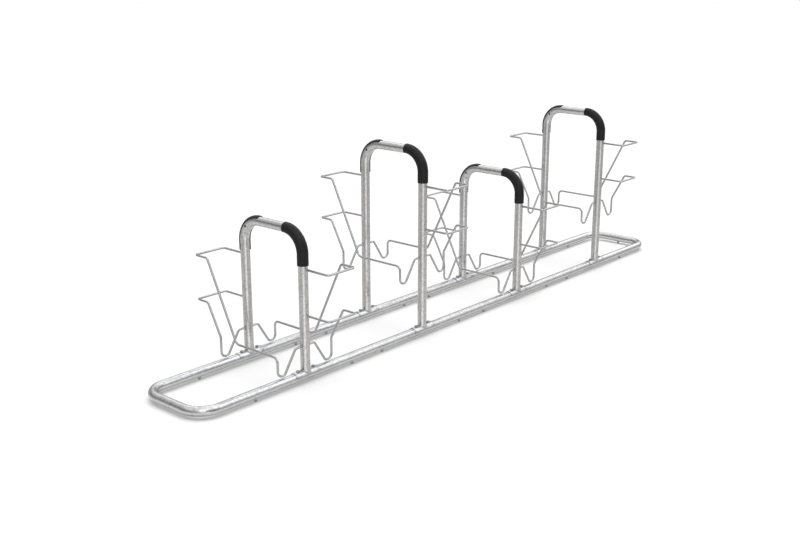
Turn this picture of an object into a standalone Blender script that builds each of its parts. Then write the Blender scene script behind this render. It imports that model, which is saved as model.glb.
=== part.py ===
"""Two-sided bicycle rack: a floor loop of round tube, four upright hoops across it, alternately low and
high, and four bent round bars on each hoop that hold two front wheels.

Metres, +Z up. The origin is on the floor under the middle of the rack, +X runs along the loop from its
near end to its far end, and -Y is the front.
"""

import math

import bmesh
import bpy
from mathutils import Matrix, Vector

# Tubes of the floor loop and the hoops
TUBE_RADIUS = 0.04830 / 2
TUBE_WALL = 0.0026
TUBE_SIDES = 16
BEND_RADIUS = 0.112
BEND_STEPS = 5

# Floor loop
LEG_SPACING = 0.415
HOOP_PITCH = 0.880
END_OVERHANG = 0.658
FOOT_HEIGHT = 0.013
FOOT_RADIUS = 0.0075
FOOT_SIDES = 8
FOOT_SINK = 0.0022
FOOT_OFFSET = 0.326
JOINT_GAP = 0.001

# Sleeves inside the joints between the ends and the rails
SLEEVE_RADIUS = 0.04240 / 2
SLEEVE_WALL = 0.0032
SLEEVE_LENGTH = 0.160

# Hoops
HOOP_COUNT = 4
LOW_RISE = 0.7233
HIGH_RISE = 0.9843

# Saddles under the legs, and their bolts
SADDLE_WALL = 0.003
SADDLE_LENGTH = 0.160
BOLT_OFFSET = 0.051
BOLT_RADIUS = 0.005
BOLT_LENGTH = 0.025
BOLT_SIDES = 8
HEAD_ACROSS_FLATS = 0.016
HEAD_HEIGHT = 0.0064
HOLE_PLAY = 0.0005

# Guards over the upper bends
GUARD_WALL = 0.0034
GUARD_GAP = 0.0006
GUARD_WRAP = math.radians(180)
GUARD_TURN = math.radians(40)
GUARD_SECTION_STEPS = 8
GUARD_ON_LEG = 0.0545
GUARD_ON_BAR = 0.004

# Vent holes in the side of the upper bends
VENT_RADIUS = 0.0042
VENT_SIDES = 8

# Wheel holders: round bar, places counted from the hoop's middle and, for heights, from the floor
BAR_RADIUS = 0.006
BAR_BEVEL = 2
BAR_BEND_STEP = math.radians(32)
LOOP_REACH = 0.377
SIDE_X = 0.181
LONG_HEIGHT = 0.575
LONG_KINK_Y = 0.285
LONG_LOW_Y = 0.088
LONG_LOW_HEIGHT = 0.1725
SHORT_HEIGHT = 0.344
SHORT_KINK_Y = 0.295
SHORT_LOW_HEIGHT = 0.1795
DIP_HEIGHT = 0.074
DIP_X = 0.137
SHOULDER_X = 0.063
SHOULDER_HEIGHT = 0.188
LOOP_BEND = 0.019
KINK_BEND = 0.034
DIP_BEND = 0.027
SHOULDER_BEND = 0.020

GAP = 0.0004

RAIL_Z = FOOT_HEIGHT + TUBE_RADIUS
HALF = LEG_SPACING / 2
HOOP_X = [HOOP_PITCH * (k - (HOOP_COUNT - 1) / 2) for k in range(HOOP_COUNT)]
LIFT = HIGH_RISE - LOW_RISE
END_X = HOOP_X[-1] + END_OVERHANG
SADDLE_INNER = TUBE_RADIUS + GAP
SADDLE_OUTER = SADDLE_INNER + SADDLE_WALL
SIDES = (("front", -1), ("back", 1))


def clear_scene():
    for obj in list(bpy.data.objects):
        bpy.data.objects.remove(obj, do_unlink=True)


def new_collection(name):
    collection = bpy.data.collections.new(name)
    bpy.context.scene.collection.children.link(collection)
    return collection


def principled(name, colour, metallic, roughness):
    material = bpy.data.materials.new(name)
    material.use_nodes = True
    shader = material.node_tree.nodes["Principled BSDF"]
    shader.inputs["Base Color"].default_value = (*colour, 1.0)
    shader.inputs["Metallic"].default_value = metallic
    shader.inputs["Roughness"].default_value = roughness
    return material


def galvanised(name):
    return principled(name, (0.56, 0.57, 0.58), 0.85, 0.42)


def black_plastic(name):
    return principled(name, (0.025, 0.025, 0.027), 0.0, 0.45)


def shade(obj):
    obj.data.shade_smooth()
    obj.data.set_sharp_from_angle(angle=math.radians(35))


def add_node(name, mesh, collection, make_material):
    obj = bpy.data.objects.new(name, mesh)
    collection.objects.link(obj)
    obj.data.materials.clear()
    obj.data.materials.append(make_material(name))
    shade(obj)
    return obj


def mesh_of(build):
    """A mesh filled by build, a function that takes an empty bmesh."""
    mesh = bpy.data.meshes.new("mesh")
    work = bmesh.new()
    build(work)
    work.to_mesh(mesh)
    work.free()
    return mesh


def along_x(place):
    """The matrix that puts a shape whose axis is Z at place with its axis along X."""
    return Matrix.Translation(place) @ Matrix.Rotation(math.pi / 2, 4, "Y")


def add_cutter(name, build, collection):
    cutter = bpy.data.objects.new(name, mesh_of(build))
    collection.objects.link(cutter)
    cutter.hide_render = True
    cutter.display_type = "WIRE"
    return cutter


def combine(obj, cutter, operation):
    boolean = obj.modifiers.new(cutter.name, "BOOLEAN")
    boolean.operation = operation
    boolean.solver = "EXACT"
    boolean.object = cutter


def cylinder(work, radius, length, sides, matrix):
    bmesh.ops.create_cone(
        work, cap_ends=True, segments=sides, radius1=radius, radius2=radius, depth=length, matrix=matrix
    )


def rounded_path(corners, radii, step):
    """The points of a path through corners, each rounded by its radius in arcs of at most step a piece."""
    corners = [Vector(corner) for corner in corners]
    points = [corners[0]]
    for before, corner, after, radius in zip(corners, corners[1:], corners[2:], radii):
        back = (before - corner).normalized()
        on = (after - corner).normalized()
        half_angle = back.angle(on) / 2
        turn = math.pi - 2 * half_angle
        centre = corner + (back + on).normalized() * radius / math.sin(half_angle)
        start = corner + back * radius / math.tan(half_angle) - centre
        axis = start.cross(corner + on * radius / math.tan(half_angle) - centre).normalized()
        pieces = math.ceil(turn / step - 1e-6)
        for k in range(pieces + 1):
            points.append(centre + Matrix.Rotation(turn * k / pieces, 3, axis) @ start)
    points.append(corners[-1])
    return points


def bevelled_curve(name, points, radius, bevel_resolution, caps):
    curve = bpy.data.curves.new(name, "CURVE")
    curve.dimensions = "3D"
    curve.bevel_depth = radius
    curve.bevel_resolution = bevel_resolution
    curve.use_fill_caps = caps
    spline = curve.splines.new("POLY")
    spline.points.add(len(points) - 1)
    for control, point in zip(spline.points, points):
        control.co = (*point, 1.0)
    return bpy.data.objects.new(name, curve)


def add_bar(name, points, collection):
    """A bent round bar, kept as a curve with filled caps."""
    obj = bevelled_curve(name, points, BAR_RADIUS, BAR_BEVEL, True)
    obj.data.materials.append(galvanised(name))
    collection.objects.link(obj)
    return obj


def thicken(obj, wall):
    """Gives an open surface its wall, on the inside."""
    solidify = obj.modifiers.new("wall", "SOLIDIFY")
    solidify.thickness = wall
    solidify.offset = -1
    solidify.use_even_offset = True


def baked(obj):
    """The object's mesh with its modifiers applied. The object is removed."""
    graph = bpy.context.evaluated_depsgraph_get()
    mesh = bpy.data.meshes.new_from_object(obj.evaluated_get(graph))
    bpy.data.objects.remove(obj, do_unlink=True)
    return mesh


def add_tube(name, points, radius, wall, collection):
    """A hollow tube, open at its ends."""
    curve = bevelled_curve(name + "_path", points, radius, TUBE_SIDES // 2 - 2, False)
    collection.objects.link(curve)
    obj = add_node(name, baked(curve), collection, galvanised)
    thicken(obj, wall)
    return obj


def arc_edges(work, place, steps):
    """Edges through place(t), a point for t from 0 to 1."""
    row = [work.verts.new(place(n / steps)) for n in range(steps + 1)]
    return [work.edges.new(pair) for pair in zip(row, row[1:])]


def extruded(work, edges, vec):
    """Faces from the edges along vec. Gives the moved edges."""
    made = bmesh.ops.extrude_edge_only(work, edges=edges)["geom"]
    moved = [item for item in made if isinstance(item, bmesh.types.BMVert)]
    bmesh.ops.translate(work, verts=moved, vec=vec)
    return [item for item in made if isinstance(item, bmesh.types.BMEdge)]


def face_outwards(work, axis_point):
    """Turns an open shell so that its first face looks away from a point on the axis inside it."""
    bmesh.ops.recalc_face_normals(work, faces=work.faces)
    work.faces.ensure_lookup_table()
    first = work.faces[0]
    if first.normal.dot(first.calc_center_median() - axis_point) < 0:
        bmesh.ops.reverse_faces(work, faces=work.faces)


def bend_step():
    return math.pi / 2 / BEND_STEPS


def bolt_places(k, sign):
    """(x, y) of the two bolts at one leg, near one first."""
    return [(HOOP_X[k] + towards * BOLT_OFFSET, sign * HALF) for towards in (-1, 1)]


def hole_cutter(name, places, surface_z, cutters):
    """Upright cylinders through the upper wall of a tube or plate whose top is at surface_z."""

    def build(work):
        for x, y in places:
            place = Matrix.Translation((x, y, surface_z))
            cylinder(work, BOLT_RADIUS + HOLE_PLAY, TUBE_RADIUS, BOLT_SIDES, place)

    return add_cutter(name, build, cutters)


def add_feet(rail, places, cutters):
    """Short round studs welded to the underside of a rail, their tops inside its wall."""
    height = FOOT_HEIGHT + FOOT_SINK

    def build(work):
        for x, y in places:
            cylinder(work, FOOT_RADIUS, height, FOOT_SIDES, Matrix.Translation((x, y, height / 2)))

    combine(rail, add_cutter(rail.name + "_feet", build, cutters), "UNION")


def add_base_piece(name, points, feet, bolts, parts, cutters):
    rail = add_tube(name, points, TUBE_RADIUS, TUBE_WALL, parts)
    add_feet(rail, feet, cutters)
    combine(rail, hole_cutter(name + "_holes", bolts, RAIL_Z + TUBE_RADIUS, cutters), "DIFFERENCE")


def add_base(parts, cutters):
    """The floor loop: two U-shaped ends and two long rails, which meet under the first and last hoops."""
    last = HOOP_COUNT - 1
    for name, k, outward, middle_feet in (
        ("base_near_end", 0, -1, []),
        ("base_far_end", last, 1, [(END_X, 0)]),
    ):
        start = HOOP_X[k] + outward * JOINT_GAP / 2
        end = outward * END_X
        corners = [(start, -HALF), (end, -HALF), (end, HALF), (start, HALF)]
        points = rounded_path([(*corner, RAIL_Z) for corner in corners], [BEND_RADIUS] * 2, bend_step())
        feet = [(HOOP_X[k] + outward * FOOT_OFFSET, sign * HALF) for sign in (-1, 1)] + middle_feet
        bolts = [(HOOP_X[k] + outward * BOLT_OFFSET, sign * HALF) for sign in (-1, 1)]
        add_base_piece(name, points, feet, bolts, parts, cutters)
    for side, sign in SIDES:
        ends = (HOOP_X[0] + JOINT_GAP / 2, HOOP_X[last] - JOINT_GAP / 2)
        points = [Vector((x, sign * HALF, RAIL_Z)) for x in ends]
        feet = [(x + towards * FOOT_OFFSET, sign * HALF) for x in HOOP_X for towards in (-1, 1)]
        bolts = [place for k in range(HOOP_COUNT) for place in bolt_places(k, sign)]
        add_base_piece(f"base_{side}_rail", points, feet[1:-1], bolts[1:-1], parts, cutters)


def add_sleeves(parts, cutters):
    """Tubes inside the four joints of the floor loop, which the saddle bolts go into."""
    for side, sign in SIDES:
        for end, k in (("near", 0), ("far", HOOP_COUNT - 1)):
            name = f"joint_sleeve_{side}_{end}"
            points = [Vector((HOOP_X[k] + t * SLEEVE_LENGTH / 2, sign * HALF, RAIL_Z)) for t in (-1, 1)]
            sleeve = add_tube(name, points, SLEEVE_RADIUS, SLEEVE_WALL, parts)
            holes = hole_cutter(name + "_holes", bolt_places(k, sign), RAIL_Z + SLEEVE_RADIUS, cutters)
            combine(sleeve, holes, "DIFFERENCE")


def saddle_shell(work, middle):
    """Half a turn of the plate's outer side, drawn along X past the middle of the rail's axis."""
    start = middle - Vector((SADDLE_LENGTH / 2, 0, 0))

    def place(t):
        angle = math.pi * t
        return start + SADDLE_OUTER * Vector((0, math.cos(angle), math.sin(angle)))

    extruded(work, arc_edges(work, place, TUBE_SIDES // 2), (SADDLE_LENGTH, 0, 0))
    face_outwards(work, middle)


def add_saddles(parts, cutters):
    """Half-round plates over the rails, with a hole for a bolt on each side of the leg."""
    for side, sign in SIDES:
        for k, x in enumerate(HOOP_X):
            name = f"saddle_{side}_{k + 1}"
            middle = Vector((x, sign * HALF, RAIL_Z))
            mesh = mesh_of(lambda work: saddle_shell(work, middle))
            obj = add_node(name, mesh, parts, galvanised)
            thicken(obj, SADDLE_WALL)
            holes = hole_cutter(name + "_holes", bolt_places(k, sign), RAIL_Z + SADDLE_OUTER, cutters)
            combine(obj, holes, "DIFFERENCE")


def bolt_mesh(cutters):
    """A hexagon bolt, head up, with the underside of its head at the origin."""
    head_radius = HEAD_ACROSS_FLATS / math.sqrt(3)
    head_middle = HEAD_HEIGHT / 2
    shank_length = BOLT_LENGTH + head_middle

    def head(work):
        cylinder(work, head_radius, HEAD_HEIGHT, 6, Matrix.Translation((0, 0, head_middle)))

    def shank(work):
        middle = Matrix.Translation((0, 0, head_middle - shank_length / 2))
        cylinder(work, BOLT_RADIUS, shank_length, BOLT_SIDES, middle)

    bolt = add_cutter("bolt_head", head, cutters)
    combine(bolt, add_cutter("bolt_shank", shank, cutters), "UNION")
    return baked(bolt)


def add_bolts(parts, cutters):
    """Two hexagon bolts at each leg, all with one mesh."""
    mesh = bolt_mesh(cutters)
    mesh.materials.append(galvanised("saddle_bolts"))
    for side, sign in SIDES:
        for k in range(HOOP_COUNT):
            for end, (x, y) in zip(("near", "far"), bolt_places(k, sign)):
                bolt = bpy.data.objects.new(f"saddle_bolt_{side}_{k + 1}_{end}", mesh)
                bolt.location = (x, y, RAIL_Z + SADDLE_OUTER + GAP)
                parts.objects.link(bolt)


def hoop_top(k):
    """Height of the top bar's axis: the hoops are low and high in turn."""
    return RAIL_Z + (HIGH_RISE if k % 2 else LOW_RISE)


def leg_notches(work, k):
    """Cylinders along the rails, which hollow the ends of both legs to sit on the saddles."""
    for side, sign in SIDES:
        place = along_x((HOOP_X[k], sign * HALF, RAIL_Z))
        cylinder(work, SADDLE_OUTER + GAP, SADDLE_LENGTH, TUBE_SIDES, place)


def vent_holes(work, k):
    """One hole through the wall of each bend at its middle, on the side that the guard leaves bare."""
    reach = BEND_RADIUS * math.cos(bend_step() / 2) * math.cos(math.pi / 4)
    for side, sign in SIDES:
        y = sign * (HALF - BEND_RADIUS + reach)
        z = hoop_top(k) - BEND_RADIUS + reach
        place = along_x((HOOP_X[k] - sign * TUBE_RADIUS, y, z))
        cylinder(work, VENT_RADIUS, TUBE_RADIUS, VENT_SIDES, place)


def add_hoops(parts, cutters):
    """Bent tubes, each with two legs and a top bar."""
    for k, x in enumerate(HOOP_X):
        name = f"hoop_{k + 1}"
        top = hoop_top(k)
        corners = [(x, -HALF, RAIL_Z), (x, -HALF, top), (x, HALF, top), (x, HALF, RAIL_Z)]
        points = rounded_path(corners, [BEND_RADIUS] * 2, bend_step())
        obj = add_tube(name, points, TUBE_RADIUS, TUBE_WALL, parts)
        for shape in (leg_notches, vent_holes):
            cutter = add_cutter(f"{name}_{shape.__name__}", lambda work: shape(work, k), cutters)
            combine(obj, cutter, "DIFFERENCE")


def guard_shell(work, k, sign):
    """The outer side of a guard: an arc that runs up the leg, round the bend and a little way along the bar."""
    inner = (TUBE_RADIUS + GUARD_GAP) / math.cos(GUARD_WRAP / GUARD_SECTION_STEPS / 2)
    outer = inner + GUARD_WALL
    top = hoop_top(k)
    leg = Vector((HOOP_X[k], sign * HALF, top - BEND_RADIUS - GUARD_ON_LEG))

    def place(t):
        angle = GUARD_TURN + GUARD_WRAP * (t - 0.5)
        return leg + sign * outer * Vector((math.sin(angle), math.cos(angle), 0))

    edges = extruded(work, arc_edges(work, place, GUARD_SECTION_STEPS), (0, 0, GUARD_ON_LEG))
    spun = bmesh.ops.spin(
        work,
        geom=edges,
        cent=(HOOP_X[k], sign * (HALF - BEND_RADIUS), top - BEND_RADIUS),
        axis=(sign, 0, 0),
        angle=math.pi / 2,
        steps=BEND_STEPS,
    )["geom_last"]
    edges = [item for item in spun if isinstance(item, bmesh.types.BMEdge)]
    extruded(work, edges, (0, -sign * GUARD_ON_BAR, 0))
    bmesh.ops.remove_doubles(work, verts=work.verts, dist=1e-6)
    face_outwards(work, leg)


def add_guards(parts):
    """Open shells over the bends, wrapped half way round and turned towards the parked bicycle."""
    for side, sign in SIDES:
        for k in range(HOOP_COUNT):
            mesh = mesh_of(lambda work: guard_shell(work, k, sign))
            thicken(add_node(f"guard_{side}_{k + 1}", mesh, parts, black_plastic), GUARD_WALL)


def long_holder():
    """Corners and bend radii of the long bar, for the bay on the hoop's -X side of a low hoop."""
    start = HALF + TUBE_RADIUS + GAP
    corners = [
        (0, start, LONG_HEIGHT),
        (0, LOOP_REACH, LONG_HEIGHT),
        (-SIDE_X, LOOP_REACH, LONG_HEIGHT),
        (-SIDE_X, LONG_KINK_Y, LONG_HEIGHT),
        (-SIDE_X, LONG_LOW_Y, LONG_LOW_HEIGHT),
        (-SIDE_X, -HALF, LONG_LOW_HEIGHT),
        (-SIDE_X, -HALF, DIP_HEIGHT),
        (-DIP_X, -HALF, DIP_HEIGHT),
        (-SHOULDER_X, -HALF, SHOULDER_HEIGHT),
        (-TUBE_RADIUS - GAP, -HALF, SHOULDER_HEIGHT),
    ]
    radii = [LOOP_BEND] * 3 + [KINK_BEND] + [DIP_BEND] * 2 + [SHOULDER_BEND] * 2
    return corners, radii


def short_holder():
    """Corners and bend radii of the short bar, for the same bay."""
    start = HALF + TUBE_RADIUS + GAP
    corners = [
        (0, start, SHORT_HEIGHT),
        (0, LOOP_REACH, SHORT_HEIGHT),
        (-SIDE_X, LOOP_REACH, SHORT_HEIGHT),
        (-SIDE_X, SHORT_KINK_Y, SHORT_HEIGHT),
        (-SIDE_X, HALF, SHORT_LOW_HEIGHT),
        (-SIDE_X, HALF, DIP_HEIGHT),
        (-DIP_X, HALF, DIP_HEIGHT),
        (-SHOULDER_X, HALF, SHOULDER_HEIGHT),
        (-TUBE_RADIUS - GAP, HALF, SHOULDER_HEIGHT),
    ]
    radii = [LOOP_BEND] * 3 + [KINK_BEND] + [DIP_BEND] + [SHOULDER_BEND] * 2
    return corners, radii


def add_holders(parts):
    """Two bars for the bay of a bicycle from the front, and the same two turned half round for the back."""
    for kind, shape in (("long", long_holder), ("short", short_holder)):
        corners, radii = shape()
        points = rounded_path(corners, radii, BAR_BEND_STEP)
        for side, turn in (("front", 0.0), ("back", math.pi)):
            for k, x in enumerate(HOOP_X):
                obj = add_bar(f"holder_{kind}_{side}_{k + 1}", points, parts)
                obj.location = (x, 0, LIFT if k % 2 else 0)
                obj.rotation_euler = (0, 0, turn)


def main():
    clear_scene()
    parts = new_collection("bicycle_rack")
    cutters = new_collection("cutters")
    add_base(parts, cutters)
    add_sleeves(parts, cutters)
    add_saddles(parts, cutters)
    add_bolts(parts, cutters)
    add_hoops(parts, cutters)
    add_guards(parts)
    add_holders(parts)


main()
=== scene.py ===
"""Finished surfaces of a galvanised two-sided bicycle rack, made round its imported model.

Metres, +Z up. +X runs along the rack from its near end to its far end, and -Y is the front.
Floor loop, hoops and wheel holders are swept along their paths, and bolts, beads of weld,
saddles and feet are set out on points, all by Geometry Nodes.
"""

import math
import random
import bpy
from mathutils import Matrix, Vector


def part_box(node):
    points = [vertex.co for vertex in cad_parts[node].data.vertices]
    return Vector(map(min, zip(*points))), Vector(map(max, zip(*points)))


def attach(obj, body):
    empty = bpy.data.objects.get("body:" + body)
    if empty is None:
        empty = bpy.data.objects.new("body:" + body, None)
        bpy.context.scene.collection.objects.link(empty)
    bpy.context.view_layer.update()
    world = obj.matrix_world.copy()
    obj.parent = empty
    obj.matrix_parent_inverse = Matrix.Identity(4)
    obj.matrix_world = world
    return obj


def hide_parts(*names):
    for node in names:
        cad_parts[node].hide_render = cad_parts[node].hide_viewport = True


bl_info = {
    "name": "Bicycle rack",
    "version": (1, 0, 0),
    "blender": (4, 5, 0),
    "location": "3D View > Sidebar > Bicycle rack",
    "description": "Tubes, bent bars, guards, welds and zinc finish of a two-sided bicycle rack",
    "category": "Add Mesh",
}

import bmesh
import bpy
from bpy.props import FloatProperty, FloatVectorProperty, IntProperty, PointerProperty
from mathutils import Matrix, Vector

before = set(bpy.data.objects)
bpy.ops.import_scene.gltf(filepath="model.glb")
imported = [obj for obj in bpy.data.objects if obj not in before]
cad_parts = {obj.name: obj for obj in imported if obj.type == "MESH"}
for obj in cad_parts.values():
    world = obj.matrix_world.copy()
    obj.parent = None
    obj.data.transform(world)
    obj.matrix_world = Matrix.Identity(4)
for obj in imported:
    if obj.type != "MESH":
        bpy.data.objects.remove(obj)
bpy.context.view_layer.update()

BODY = "root"
SIDES = (("front", -1), ("back", 1))
HOOP_COUNT = sum(name.startswith("hoop_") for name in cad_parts)

# Main lines of the rack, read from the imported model
RAIL_LOW, RAIL_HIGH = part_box("base_front_rail")
TUBE_RADIUS = (RAIL_HIGH.y - RAIL_LOW.y) / 2
RAIL_Z = RAIL_HIGH.z - TUBE_RADIUS
RAIL_Y = -(RAIL_HIGH.y + RAIL_LOW.y) / 2
END_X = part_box("base_far_end")[1].x - TUBE_RADIUS
HOOP_BOXES = [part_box(f"hoop_{k + 1}") for k in range(HOOP_COUNT)]
HOOP_X = [(low.x + high.x) / 2 for low, high in HOOP_BOXES]
HOOP_TOP = [high.z - TUBE_RADIUS for low, high in HOOP_BOXES]
SADDLE_LOW, SADDLE_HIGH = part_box("saddle_front_1")
SADDLE_RADIUS = SADDLE_HIGH.z - RAIL_Z
BOLT_LOW, BOLT_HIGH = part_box("saddle_bolt_front_1_near")
BOLT_OFFSET = HOOP_X[0] - (BOLT_LOW.x + BOLT_HIGH.x) / 2
UPRIGHT = Matrix.Identity(3)

# Fineness of the swept stock, the guards and the vent plugs
TUBE_MESH = {"sides": 64, "points_in_a_bend": 24, "closed_ends": False}
BAR_MESH = {"sides": 20, "points_in_a_bend": 8, "closed_ends": True}
GUARD_STEPS = 28
GUARD_CORNER_STEPS = 5
GUARD_COLUMNS = 36
PLUG_SIDES = 32

# Outline of a vent plug in plug radii: distance from its axis, height over the tube's side
PLUG_OUTLINE = (
    (0, 0.45), (0.55, 0.38), (0.85, 0.22), (1.0, 0.02),
    (1.0, -0.25), (0.8, -0.3), (0.8, -1.1), (0, -1.1),
)

# Each piece's zinc: tint (partly painted shade, noted below), width of its crystals against the
# rack's, roughness added
ZINC_COATS_AND_SHADE = {
    "rails": (1.0, 1.0, 0.0),
    # Feet: a lower tint, painted shade from the rail above them
    "feet": (0.8, 0.4, 0.0),
    "sleeves": (0.9, 1.0, 0.0),
    "hoops": (1.0, 1.0, 0.0),
    "saddles": (0.95, 1.0, 0.0),
    # Bolts: a lower tint, partly their duller zinc and partly painted shade on the heads' shaded
    # sides
    "bolts": (0.55, 0.4, 0.02),
    "holders": (0.78, 0.6, 0.0),
    # Welds: a lower tint, partly duller weld metal and partly painted shade where bars and legs
    # meet
    "welds": (0.7, 0.35, 0.08),
}

# The zinc's tone: how ragged its crystals are, how many times finer the small ones are, and
# how much large crystals, small crystals and cloudy patina each count
RAGGED_EDGE = 0.004
FINER = 2.3
LARGE_SHARE, SMALL_SHARE, CLOUD_SHARE = 0.45, 0.2, 0.35

# How far roughness strays from its mean, how deep the relief is, the fine grain's share in the
# zinc's relief, and the plastic's darker tone against its own
ZINC_STRAY, PLASTIC_STRAY = 0.06, 0.08
ZINC_RELIEF, PLASTIC_RELIEF = 0.0005, 0.0003
GRAIN_SHARE = 0.25
DEEP_SHARE = 0.7

# Where the lamps shine from, and the width of the camera's frame in millimetres
OVERHEAD_FROM = (0.1, 0, 1)
FRONT_FROM = (-0.6, -0.7, 0.5)
SENSOR_WIDTH = 36
WHITE = (1, 1, 1, 1)

# Tones that metal reflects, by the rise of the direction
WALL_TONES = (
    (-0.80, (0.81, 0.81, 0.81)),
    (-0.50, (0.90, 0.89, 0.90)),
    (-0.30, (0.69, 0.68, 0.67)),
    (-0.08, (0.53, 0.53, 0.54)),
    (0.10, (0.44, 0.43, 0.44)),
    (0.30, (0.41, 0.41, 0.42)),
    (0.50, (0.73, 0.72, 0.73)),
    (0.80, (0.99, 0.99, 1.00)),
)
# Soft patches of light and shade added to them: direction, degrees from it at which the patch
# begins and is full, colour
WALL_PATCHES = (
    ((0.40, -0.47, 0.79), 60, 1, (0.48, 0.52, 0.58)),
    ((0.69, -0.43, 0.59), 36, 8, (0.37, 0.36, 0.36)),
    ((0.47, 0.58, 0.67), 28, 1, (0.60, 0.62, 0.65)),
    ((-0.47, -0.51, 0.72), 20, 8, (0.60, 0.60, 0.62)),
    ((-0.61, -0.66, 0.44), 20, 8, (0.90, 0.90, 0.92)),
    ((-0.68, -0.72, 0.14), 18, 4, (0.50, 0.50, 0.50)),
    ((-0.56, -0.75, -0.36), 28, 1, (0.58, 0.56, 0.55)),
    ((-0.95, -0.17, -0.26), 39, 15, (-0.05, -0.05, -0.05)),
    ((0.13, -0.93, 0.34), 32, 8, (-0.32, -0.32, -0.33)),
    ((-0.33, 0.82, 0.47), 34, 6, (-0.16, -0.16, -0.17)),
    ((0.90, 0.08, 0.43), 25, 8, (0.65, 0.64, 0.62)),
    ((0.87, -0.39, 0.32), 20, 4, (-0.28, -0.28, -0.30)),
    ((-0.84, 0.48, 0.27), 28, 6, (-0.17, -0.17, -0.17)),
)


def length(name, description, default):
    return FloatProperty(
        name=name, description=description, default=default, min=0, unit="LENGTH", precision=4
    )


def turn(name, description, degrees):
    return FloatProperty(
        name=name, description=description, default=math.radians(degrees),
        subtype="ANGLE", unit="ROTATION",
    )


def colour(name, description, default):
    return FloatVectorProperty(
        name=name, description=description, default=default, size=3, min=0, max=1, subtype="COLOR"
    )


def factor(name, description, default, most=1.0):
    return FloatProperty(
        name=name, description=description, default=default, min=0, max=most, subtype="FACTOR"
    )


class RackSizes(bpy.types.PropertyGroup):
    """Sizes of the tubes, saddles, bolts, guards and welds."""

    tube_wall: length("Tube wall", "Wall of the floor loop's and the hoops' tube", 0.0026)
    bend_radius: length("Bend radius", "Radius of the bends, at the tube's axis", 0.112)
    joint_gap: length("Joint gap", "Gap between an end of the floor loop and its rail", 0.001)
    foot_offset: length("Foot offset", "From a hoop to the foot on each side of it", 0.326)
    foot_radius: length("Foot radius", "Radius of the studs under the floor loop", 0.0075)
    foot_edge: length("Foot edge", "Rounding of the studs' edges", 0.0008)
    saddle_wall: length("Saddle wall", "Thickness of the half-round plates", 0.003)
    saddle_edge: length("Saddle edge", "Rounding of the half-round plates' edges", 0.0006)
    bolt_offset: length("Bolt offset", "From a leg to the bolt on each side of it", BOLT_OFFSET)
    bolt_radius: length("Bolt radius", "Radius of the bolts' shanks", 0.005)
    head_across_flats: length("Head across flats", "Width of the hexagon heads", 0.016)
    head_face: length("Head face", "Radius of the flat on top of the hexagon heads", 0.0076)
    head_height: length("Head height", "Height of the hexagon heads", 0.0064)
    guard_radius: length("Guard radius", "Outer radius, from the tube's axis", 0.0285)
    guard_wall: length("Guard wall", "Wall of the guards", 0.0035)
    guard_wrap: turn("Guard wrap", "How far a guard reaches round the tube", 180)
    guard_turn: turn("Guard turn", "How far a guard is turned towards the parked wheel", 40)
    guard_on_leg: length("Guard on leg", "Length of a guard's end on the leg", 0.0545)
    guard_on_bar: length("Guard on top bar", "Length of a guard's end on the top bar", 0.004)
    guard_corner: length("Guard corner", "Radius of the guards' corners", 0.007)
    guard_edge: length("Guard edge", "Rounding of the guards' edges", 0.0009)
    plug_radius: length("Plug radius", "Radius of the plugs in the vent holes", 0.0060)
    plug_inset: length("Plug inset", "From the bend's middle line in to the plugs", 0.0014)
    bar_bead: length("Bar bead", "Half the width of the weld round a bar", 0.0024)
    bar_seam: length("Bar seam", "From a bar's side to the middle of its weld", 0.0006)
    leg_bead: length("Leg bead", "Half the width of the weld round a leg", 0.0036)
    leg_seam: length("Leg seam", "From a leg's side to the middle of its weld", 0.0008)
    seed: IntProperty(name="Seed", description="Start of the random draws", default=7, min=0)


class HolderSizes(bpy.types.PropertyGroup):
    """Sizes of a low hoop's bent bars: places from the hoop's middle, heights from the floor."""

    bar_radius: length("Bar radius", "Half the thickness of the round bar", 0.00595)
    end_depth: length("End depth", "How far the bars' ends run into the legs", 0.0012)
    loop_reach: length("Loop reach", "From the rack's middle out to the upper loops", 0.377)
    side_x: length("Side", "From the hoop to the bars' far side", 0.181)
    long_height: length("Long bar height", "Height of the long bar's loop", 0.575)
    long_kink: length("Long bar kink", "Where the long bar's slope starts", 0.285)
    long_low: length("Long bar foot", "Where the long bar's slope ends", 0.088)
    long_low_height: length("Long bar low height", "Height of its level run", 0.1725)
    short_height: length("Short bar height", "Height of the short bar's loop", 0.344)
    short_kink: length("Short bar kink", "Where the short bar's slope starts", 0.295)
    short_low_height: length("Short bar low height", "Height of its slope's end", 0.1795)
    dip_height: length("Dip height", "Height of the dip that takes the tyre", 0.074)
    dip_x: length("Dip", "From the hoop to the dip's inner end", 0.137)
    shoulder_x: length("Shoulder", "From the hoop to the bar's shoulder", 0.063)
    shoulder_height: length("Shoulder height", "Height at which the bars meet the legs", 0.188)
    loop_bend: length("Loop bend", "Radius of the loops' bends", 0.019)
    kink_bend: length("Kink bend", "Radius of the bend at the slope's lower end", 0.034)
    dip_bend: length("Dip bend", "Radius above and at the dip's outer end", 0.027)
    shoulder_bend: length("Shoulder bend", "Radius at the dip's inner end and shoulder", 0.020)


class RackFinish(bpy.types.PropertyGroup):
    """Colours and texture sizes of zinc and plastic."""

    zinc_light: colour("Light zinc", "Colour of the bright crystals", (0.722, 0.720, 0.715))
    zinc_dark: colour("Dark zinc", "Colour of the dull crystals", (0.472, 0.470, 0.466))
    zinc_metal: factor("Zinc metal", "How metallic the zinc is", 0.95)
    zinc_roughness: factor("Zinc roughness", "Mean roughness of the zinc", 0.16)
    crystal_size: length("Crystal size", "Width of the zinc's crystals", 0.008)
    plastic: colour("Plastic", "Colour of the guards and plugs", (0.024, 0.024, 0.025))
    plastic_roughness: factor("Plastic roughness", "Mean roughness of the plastic", 0.34)
    guard_gloss: factor("Guard gloss", "Specular level of the guards", 0.12)
    plug_gloss: factor("Plug gloss", "Specular level of the vent plugs", 0.0)


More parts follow.
